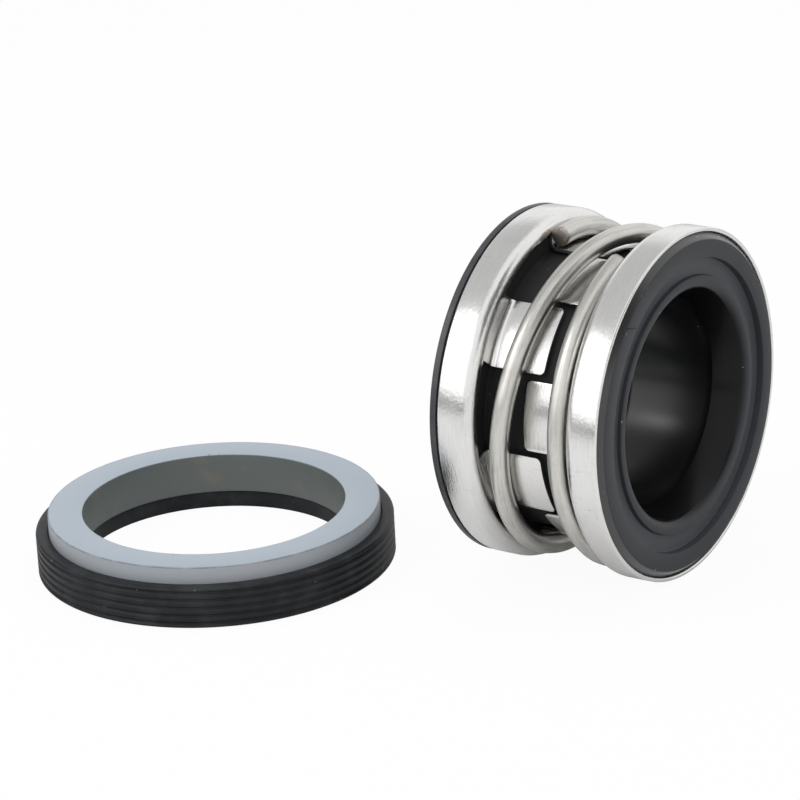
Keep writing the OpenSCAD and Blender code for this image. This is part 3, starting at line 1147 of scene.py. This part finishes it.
@dataclass
class Bellows:
    """Rubber bellows: grooved tail block, mouth, hub, fold, sleeve and wrap of the carbon ring.

    Attributes:
        axis: The head's axis, with distances from the tail face.
        outer_r: Radius of the rubber inside the cups.
        bore_r: Radius of the bore that grips the shaft.
        front_lip: Distance of the retainer's lip.
        tail_shoulder: Distance of the outside of the drive band's shoulder.
        front_shoulder: Distance of the outside of the retainer's shoulder.
    """

    axis: Axis
    outer_r: float
    bore_r: float
    front_lip: float
    tail_shoulder: float
    front_shoulder: float
    sheet: float = 0.7 * MM
    fit: float = 0.05 * MM
    hub_wall: float = 2.1 * MM
    hub_end: float = 21.4 * MM
    mouth_depth: float = 5.8 * MM
    mouth_r: float = 19.35 * MM
    mouth_round: float = 1.5 * MM
    land_at: float = 0.5 * MM
    groove_inner: float = 21.25 * MM
    groove_outer: float = 24.2 * MM
    groove_depth: float = 1.35 * MM
    edge_width: float = 1.15 * MM
    edge_depth: float = 1.1 * MM
    fold_at: float = 10.6 * MM
    wall: float = 1.6 * MM
    sleeve_r: float = 23.2 * MM
    shoulder_round: float = 1.3 * MM
    bead: float = 0.3 * MM
    pocket_r: float = 25.25 * MM
    pocket_back: float = 26.3 * MM
    hub_edge: float = 0.35 * MM
    groove_edge: float = 0.12 * MM
    groove_round: float = 0.25 * MM
    face_edge: float = 0.2 * MM
    outer_edge: float = 0.15 * MM
    inner_edge: float = 0.3 * MM
    fold_round: float = 0.5 * MM
    sleeve_round: float = 0.4 * MM
    bead_edge: float = 0.1 * MM
    end_flat: float = 0.01 * MM

    def corners(self) -> list[Corner]:
        """Returns the corners of the bellows' section."""
        hub_r = self.bore_r + self.hub_wall
        tail_front = self.tail_shoulder - self.sheet - self.fit
        front_back = self.front_shoulder + self.sheet + self.fit
        bead_front = self.front_lip + self.bead - self.fit
        bead_r = self.outer_r + self.fit + self.sheet / 2
        inner = self.sleeve_r - self.wall
        end_round = self.hub_wall / 2 - self.end_flat
        return [
            Corner(self.mouth_depth, self.bore_r, self.hub_edge, 3),
            Corner(self.land_at, self.mouth_r, self.mouth_round, 8),
            Corner(self.land_at, self.groove_inner, self.groove_edge, 2),
            Corner(self.groove_depth, self.groove_inner, self.groove_round, 3),
            Corner(self.groove_depth, self.groove_outer, self.groove_round, 3),
            Corner(0.0, self.groove_outer, self.groove_edge, 2),
            Corner(0.0, self.outer_r - self.edge_width, self.face_edge, 3),
            Corner(self.edge_depth, self.outer_r, self.outer_edge, 2),
            Corner(tail_front, self.outer_r, self.shoulder_round, 5),
            Corner(tail_front, hub_r, self.inner_edge, 2),
            Corner(self.fold_at, hub_r, self.fold_round, 3),
            Corner(self.fold_at, self.sleeve_r, self.wall, 6),
            Corner(front_back, self.sleeve_r, self.inner_edge, 3),
            Corner(front_back, self.outer_r, self.shoulder_round, 5),
            Corner(self.front_lip + self.fit, self.outer_r),
            Corner(self.front_lip + self.fit, bead_r, self.bead_edge, 2),
            Corner(bead_front, bead_r, self.bead_edge, 2),
            Corner(bead_front, self.pocket_r),
            Corner(self.pocket_back, self.pocket_r),
            Corner(self.pocket_back, inner),
            Corner(self.fold_at + self.wall, inner, self.sleeve_round, 3),
            Corner(self.fold_at + self.wall, hub_r, self.inner_edge, 2),
            Corner(self.hub_end, hub_r, end_round, 5),
            Corner(self.hub_end, self.bore_r, end_round, 5),
        ]

    def build(self) -> Piece:
        """Makes the bellows."""
        return turned("rubber_bellows", self.axis, self.corners())


@dataclass
class CarbonRing:
    """Carbon ring: body in the rubber, rim outside the retainer and lapped nose.

    Attributes:
        axis: The head's axis, with distances from the tail face.
        rim_r: Radius of the rim.
        bore_r: Radius of its bore.
        back: Distance of the back of its body.
        nose_front: Distance of the lapped nose.
    """

    axis: Axis
    rim_r: float
    bore_r: float
    back: float
    nose_front: float
    body_r: float = 25.2 * MM
    nose_inner: float = 22.7 * MM
    nose_outer: float = 25.9 * MM
    nose_height: float = 1.2 * MM
    rim: float = 1.15 * MM
    edge: float = 0.1 * MM

    def build(self) -> Piece:
        """Makes the ring."""
        rim_front = self.nose_front - self.nose_height
        rim_back = rim_front - self.rim
        corners = [
            Corner(self.back, self.bore_r, self.edge * 2, 2),
            Corner(self.back, self.body_r, self.edge * 2, 2),
            Corner(rim_back, self.body_r),
            Corner(rim_back, self.rim_r, self.edge, 2),
            Corner(rim_front, self.rim_r, self.edge * 2, 3),
            Corner(rim_front, self.nose_outer, self.edge, 2),
            Corner(self.nose_front, self.nose_outer, self.edge, 2),
            Corner(self.nose_front, self.nose_inner, self.edge, 2),
            Corner(rim_front, self.nose_inner, self.edge, 2),
            Corner(rim_front, self.bore_r, self.edge * 3, 2),
        ]
        return turned("carbon_ring", self.axis, corners)


# Seat


@dataclass
class SeatRing:
    """Hard seat ring with its lapped face up."""

    axis: Axis
    base: float
    face: float
    outer_r: float
    bore_r: float = 21.9 * MM
    edge: float = 0.22 * MM
    face_edge: float = 0.12 * MM

    def build(self) -> Piece:
        """Makes the ring."""
        corners = [
            Corner(self.base, self.bore_r, self.edge, 3),
            Corner(self.base, self.outer_r, self.edge, 3),
            Corner(self.face, self.outer_r, self.face_edge, 3),
            Corner(self.face, self.bore_r, self.edge, 3),
        ]
        return turned("seat_face_ring", self.axis, corners, SEAT_COLUMNS)


@dataclass
class SeatBoot:
    """Rubber boot round the seat ring, with sealing grooves round its outside.

    A groove's corners are given by height, depth, rounding (all in groove depths) and facets.
    """

    GROOVE = ((1.2, 0.0, 0.75, 4), (0.4, 1.0, 0.35, 3), (-0.4, 1.0, 0.35, 3), (-1.2, 0.0, 0.75, 4))

    axis: Axis
    outer_r: float
    height: float
    floor: float = 2.96 * MM
    bore_r: float = 22.4 * MM
    wall_r: float = 27.75 * MM
    rounding: float = 0.55 * MM
    lead: float = 1.15 * MM
    grooves: int = 5
    groove_pitch: float = 1.33 * MM
    groove_top: float = 0.85 * MM
    groove_depth: float = 0.3 * MM
    foot_edge: float = 0.2 * MM
    floor_edge: float = 0.12 * MM
    top_edge: float = 0.3 * MM

    def build(self) -> Piece:
        """Makes the boot."""
        deep = self.groove_depth
        corners = [
            Corner(0.0, self.bore_r, self.foot_edge, 2),
            Corner(self.floor, self.bore_r, self.floor_edge, 2),
            Corner(self.floor, self.wall_r),
            Corner(self.height, self.wall_r, self.top_edge, 3),
            Corner(self.height, self.outer_r, self.rounding, 4),
        ]
        for index in range(self.grooves):
            middle = self.height - self.groove_top - index * self.groove_pitch
            for high, sunk, rounding, steps in self.GROOVE:
                radius = self.outer_r - deep * sunk
                corners.append(Corner(middle + deep * high, radius, deep * rounding, steps))
        corners.append(Corner(0.0, self.outer_r, self.lead, 6))
        return turned("seat_rubber_boot", self.axis, corners, SEAT_COLUMNS)


# Assemblies


@dataclass
class Head:
    """Rotary head: cups, spring, bellows and carbon ring on one level axis."""

    shaft_d: float = 35 * MM
    squeeze: float = 0.25 * MM
    ring_gap: float = 0.9 * MM
    tab_phase: float = 9.0
    wire_seat: float = 0.05 * MM
    axis: Axis = field(init=False)

    def __post_init__(self) -> None:
        """Takes the head's axis from the frame's cups and tail face."""
        low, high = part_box("retainer")
        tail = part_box("bellows")[1].x
        origin = Vector((tail, (low.y + high.y) / 2, (low.z + high.z) / 2))
        self.axis = Axis(origin, Vector((-1, 0, 0)), Vector((0, 0, 1)), Vector((0, 1, 0)))

    def cups(self) -> tuple[Piece, Piece]:
        """Makes the retainer and the drive band."""
        face_low, face_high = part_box("retainer")
        tail_low, tail_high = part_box("drive_band")
        radius = (face_high.z - face_low.z) / 2
        sizes = CupSizes(radius, tail_high.x - tail_low.x - CupSizes.tab_length)
        phase = math.radians(self.tab_phase)
        half_pitch = math.pi / sizes.tab_count
        face_axis = Axis(
            Vector((face_low.x, self.axis.origin.y, self.axis.origin.z)),
            -self.axis.along,
            self.axis.up,
            -self.axis.across,
        )
        tail_axis = Axis(
            Vector((tail_high.x, self.axis.origin.y, self.axis.origin.z)),
            self.axis.along,
            self.axis.up,
            self.axis.across,
        )
        retainer = PressedCup("retainer_cup", face_axis, sizes, -phase).build()
        band = PressedCup("drive_band_cup", tail_axis, sizes, phase + half_pitch).build()
        return retainer, band

    def shoulders(self) -> tuple[float, float]:
        """Returns the distances of the drive band's and the retainer's shoulders, outside."""
        tail_low, tail_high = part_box("drive_band")
        face_low, face_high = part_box("retainer")
        height = tail_high.x - tail_low.x - CupSizes.tab_length
        tail_lip = self.axis.distance(tail_high)
        face_lip = self.axis.distance(face_low)
        return tail_lip + height, face_lip - height

    def build(self) -> dict[str, Piece]:
        """Makes the head's five pieces and sets each in its place in the frame.

        Returns:
            The pieces by the name of the node that each stands for.
        """
        tail_shoulder, face_shoulder = self.shoulders()
        face_lip = self.axis.distance(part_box("retainer")[0])
        retainer, band = self.cups()
        seat = Spring.wire_r + self.wire_seat
        spring = Spring(self.axis, face_shoulder - seat, tail_shoulder + seat).build()
        cup_top = Vector((self.axis.origin.x, self.axis.origin.y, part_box("retainer")[1].z))
        bellows = Bellows(
            self.axis,
            self.axis.radius(cup_top) - CupSizes.sheet - Bellows.fit,
            self.shaft_d / 2 - self.squeeze,
            face_lip,
            tail_shoulder,
            face_shoulder,
        ).build()
        ring_low, ring_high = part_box("primary_ring")
        ring = CarbonRing(
            self.axis,
            (ring_high.z - ring_low.z) / 2,
            self.shaft_d / 2 + self.ring_gap,
            self.axis.distance(ring_high),
            self.axis.distance(ring_low),
        ).build()
        self.dress(retainer, band, spring, bellows, ring)
        self.mount(retainer, band, spring, bellows, ring)
        return {
            "retainer": retainer,
            "drive_band": band,
            "spring": spring,
            "bellows": bellows,
            "primary_ring": ring,
        }

    def dress(
        self, retainer: Piece, band: Piece, spring: Piece, bellows: Piece, ring: Piece
    ) -> None:
        """Gives each piece its finish."""
        length = max(item.vector[0] for item in spring.data.attributes[Spring.LAY].data)
        steel = PressedSteel("pressed_stainless", self.axis).material()
        wire = DrawnWire("drawn_spring_wire", length).material()
        rubber = BellowsRubber("bellows_black_rubber", axis=self.axis).material()
        carbon = CarbonBlock("machined_carbon", self.axis).material()
        finish(retainer, steel)
        finish(band, steel)
        finish(spring, wire)
        finish(bellows, rubber)
        finish(ring, carbon)

    def mount(
        self, retainer: Piece, band: Piece, spring: Piece, bellows: Piece, ring: Piece
    ) -> None:
        """Sets the cups and the carbon ring on their bodies, leaves the spring and the bellows fixed
        where they stand, and hides the frame's pieces.
        """
        tail_shoulder, face_shoulder = self.shoulders()
        start = self.axis.place(tail_shoulder, 0.0)
        end = self.axis.place(face_shoulder, 0.0)
        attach(band, HEAD_BODY)
        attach(retainer, FACE_BODY)
        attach(ring, FACE_BODY)
        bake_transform(spring)
        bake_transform(bellows)
        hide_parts("drive_band")
        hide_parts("retainer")
        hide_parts("primary_ring")
        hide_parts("spring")
        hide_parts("bellows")


@dataclass
class Seat:
    """Stationary seat: hard ring in its rubber boot, lying with its face up."""

    axis: Axis = field(init=False)

    def __post_init__(self) -> None:
        """Takes the seat's axis from the frame's seat ring."""
        low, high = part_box("seat_ring")
        origin = Vector(((low.x + high.x) / 2, (low.y + high.y) / 2, 0.0))
        self.axis = Axis(origin, Vector((0, 0, 1)), Vector((1, 0, 0)), Vector((0, 1, 0)))

    def build(self) -> dict[str, Piece]:
        """Makes the seat's two pieces and sets each in its place in the frame.

        Returns:
            The pieces by the name of the node that each stands for.
        """
        low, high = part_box("seat_ring")
        ring = SeatRing(self.axis, low.z, high.z, (high.x - low.x) / 2).build()
        boot_low, boot_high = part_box("seat_boot")
        boot = SeatBoot(self.axis, (boot_high.x - boot_low.x) / 2, boot_high.z).build()
        sizes = (high.z, SeatRing.bore_r, (high.x - low.x) / 2)
        ceramic = LappedCeramic("lapped_silicon_carbide", self.axis, *sizes)
        finish(ring, ceramic.material())
        rubber = MouldedRubber("boot_black_rubber", roughness=0.36, bloom=0.65, index=1.30)
        finish(boot, rubber.material())
        for piece, node in ((ring, "seat_ring"), (boot, "seat_boot")):
            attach(piece, HEAD_BODY)
            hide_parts(node)
        return {"seat_ring": ring, "seat_boot": boot}


def finish(piece: Piece, material: Material) -> None:
    """Gives a piece its material."""
    piece.data.materials.clear()
    piece.data.materials.append(material)


# Studio


@dataclass(frozen=True)
class Card:
    """Grey card that stands round the set and shows only in shiny surfaces.

    Attributes:
        name: Its name.
        way: Direction from the head to its middle.
        distance: How far away it stands.
        size: Its level side and its other side.
        shade: How light it looks, with 1 as white.
        fade: Share of each side over which its edge fades out.
    """

    AIM = Vector((0.035, 0.016, 0.029))
    HIDDEN_FROM = ("camera", "diffuse", "transmission", "shadow")

    name: str
    way: Vector
    distance: float
    size: tuple[float, float]
    shade: float
    fade: float = 0.22

    def build(self) -> None:
        """Makes the card and hides it from the camera, from diffuse and glass rays and from shadows.
        """
        outward = self.way.normalized()
        level = outward.cross(Vector((0, 0, 1))).normalized()
        rising = level.cross(outward)
        bpy.ops.object.select_all(action="DESELECT")
        bpy.ops.mesh.primitive_plane_add(size=1.0)
        card = bpy.context.active_object
        card.name = self.name
        width, height = self.size
        matrix = Matrix((level * width, rising * height, outward)).transposed().to_4x4()
        matrix.translation = self.AIM + outward * self.distance
        card.matrix_world = matrix
        for ray in self.HIDDEN_FROM:
            setattr(card, "visible_" + ray, False)
        card.data.materials.append(self.material())

    def material(self) -> Material:
        """Makes the card's plain grey, which no lamp changes and which fades at its edges."""
        paint = Paint(bpy.data.materials.new(self.name + "_grey"))
        side, rise, _ = paint.place()
        shown = (0.5 - abs(side)).band(0.0, self.fade) * (0.5 - abs(rise)).band(0.0, self.fade)
        clear = paint.node("ShaderNodeBsdfTransparent")
        glow = paint.white("ShaderNodeEmission", self.shade)
        paint.show(paint.mix_shaders(shown, clear, glow))
        return paint.owner


@dataclass(frozen=True)
class Softbox:
    """Square soft lamp, which shiny surfaces don't show.

    Attributes:
        name: Its name.
        place: Where it hangs.
        size: Length of its side.
        power: Its power in watts.
    """

    AIM = Vector((0.0, 0.0, 0.03))

    name: str
    place: Vector
    size: float
    power: float

    def build(self) -> None:
        """Hangs the lamp."""
        light = bpy.data.lights.new(self.name, "AREA")
        light.shape = "SQUARE"
        light.size = self.size
        light.energy = self.power
        lamp = bpy.data.objects.new(self.name, light)
        lamp.location = self.place
        lamp.rotation_euler = (self.place - self.AIM).to_track_quat("Z", "Y").to_euler()
        lamp.visible_glossy = False
        bpy.context.scene.collection.objects.link(lamp)


SOFTBOXES = (
    Softbox("top_softbox", Vector((0.05, 0.10, 0.75)), size=0.7, power=5.0),
    Softbox("left_softbox", Vector((-0.344, -0.464, 0.542)), size=0.42, power=3.4),
    Softbox("right_softbox", Vector((0.60, -0.42, 0.42)), size=0.5, power=2.7),
)
CARDS = (
    Card("bright_card", Vector((-0.48, -0.61, 0.63)), 0.55, (0.20, 0.16), shade=8.0, fade=0.45),
    Card("front_card", Vector((-0.49, -0.80, 0.45)), 0.62, (1.05, 0.68), shade=1.6, fade=0.30),
    Card("ceiling_card", Vector((-0.49, 0.10, 0.87)), 0.60, (1.16, 0.74), shade=0.60),
    Card("right_card", Vector((0.78, -0.12, 0.61)), 0.62, (0.60, 0.46), shade=0.16),
    Card("left_card", Vector((-0.97, 0.02, 0.24)), 0.60, (0.60, 0.44), shade=0.30),
    Card("table_edge_card", Vector((-0.49, -0.87, -0.02)), 0.28, (0.80, 0.042), shade=0.16),
)


@dataclass
class Studio:
    """White studio: pale floor, soft lamps, cards and a camera at the photograph's angle."""

    lens: float = 193.5
    sensor: float = 36.0
    camera_at: Vector = field(default_factory=lambda: Vector((379.35, -545.12, 276.75)) * MM)
    azimuth: float = 34.39
    elevation: float = 20.65
    roll: float = -3.06
    view_end: float = 50.0
    floor_size: float = 6.0
    floor_colour: Colour = (0.50, 0.50, 0.50)
    ambient: float = 0.62
    white_seen: float = 0.95
    white_mirrored: float = 0.12

    def build(self) -> None:
        """Makes the whole studio."""
        self.world()
        self.floor()
        for item in (*SOFTBOXES, *CARDS):
            item.build()
        self.camera()

    @staticmethod
    def plain_share(paint: Paint, seen: float, mirrored: float) -> Wire:
        """Returns how much plain white shows to a ray, 0 for the rays that carry light.

        Args:
            paint: Nodes of the surface or of the world.
            seen: Share for rays from the camera or through glass.
            mirrored: Share for rays from a shiny surface.

        Returns:
            The share.
        """
        rays = paint.node("ShaderNodeLightPath").socket.node.outputs
        camera, glossy, glass = (
            Wire(paint, rays[f"Is {kind} Ray"]) for kind in ("Camera", "Glossy", "Transmission")
        )
        return (camera * seen).most(glossy * mirrored).most(glass * seen)

    def world(self) -> None:
        """Makes the surroundings: white where seen or mirrored, softer where they light the set."""
        paint = Paint(bpy.data.worlds.new("white_room"))
        bpy.context.scene.world = paint.owner
        paint.tree.nodes.remove(paint.tree.nodes["Background"])
        lighting = paint.white("ShaderNodeBackground", self.ambient)
        seen = paint.white("ShaderNodeBackground", 1.0)
        share = self.plain_share(paint, seen=1.0, mirrored=1.0)
        paint.show(paint.mix_shaders(share, lighting, seen), "World Output")

    def floor(self) -> None:
        """Makes the pale floor, which shows white and keeps a soft share of the set's shadow."""
        bpy.ops.object.select_all(action="DESELECT")
        bpy.ops.mesh.primitive_plane_add(size=self.floor_size)
        floor = bpy.context.active_object
        floor.name = "floor"
        paint = Paint(bpy.data.materials.new("pale_floor"))
        diffuse = paint.node("ShaderNodeBsdfDiffuse", inputs={"Color": self.floor_colour})
        glow = paint.white("ShaderNodeEmission", 1.0)
        share = self.plain_share(paint, self.white_seen, self.white_mirrored)
        paint.show(paint.mix_shaders(share, diffuse, glow))
        floor.data.materials.append(paint.owner)

    def camera(self) -> None:
        """Places the camera at the photograph's viewing angle."""
        turn, rise, roll = map(math.radians, (self.azimuth, self.elevation, self.roll))
        level_right = Vector((math.cos(turn), math.sin(turn), 0.0))
        back = math.sin(rise)
        level_up = Vector((-math.sin(turn) * back, math.cos(turn) * back, math.cos(rise)))
        right = level_right * math.cos(roll) + level_up * math.sin(roll)
        up = level_up * math.cos(roll) - level_right * math.sin(roll)
        matrix = Matrix((right, up, right.cross(up))).transposed().to_4x4()
        matrix.translation = self.camera_at
        data = bpy.data.cameras.new("photo_camera")
        data.lens = self.lens
        data.sensor_width = self.sensor
        data.clip_end = self.view_end
        camera = bpy.data.objects.new("photo_camera", data)
        camera.matrix_world = matrix
        bpy.context.scene.collection.objects.link(camera)
        bpy.context.scene.camera = camera


def main() -> None:
    """Builds the set and its studio."""
    logging.basicConfig(level=logging.INFO, format="%(name)s: %(message)s")
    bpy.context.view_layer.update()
    scene = bpy.context.scene
    scene.view_settings.view_transform = "Standard"
    Studio().build()
    for assembly in (Head(), Seat()):
        for node, piece in assembly.build().items():
            log.info("%s stands for %s with %d faces", piece.name, node, len(piece.data.polygons))


if __name__ == "__main__":
    main()
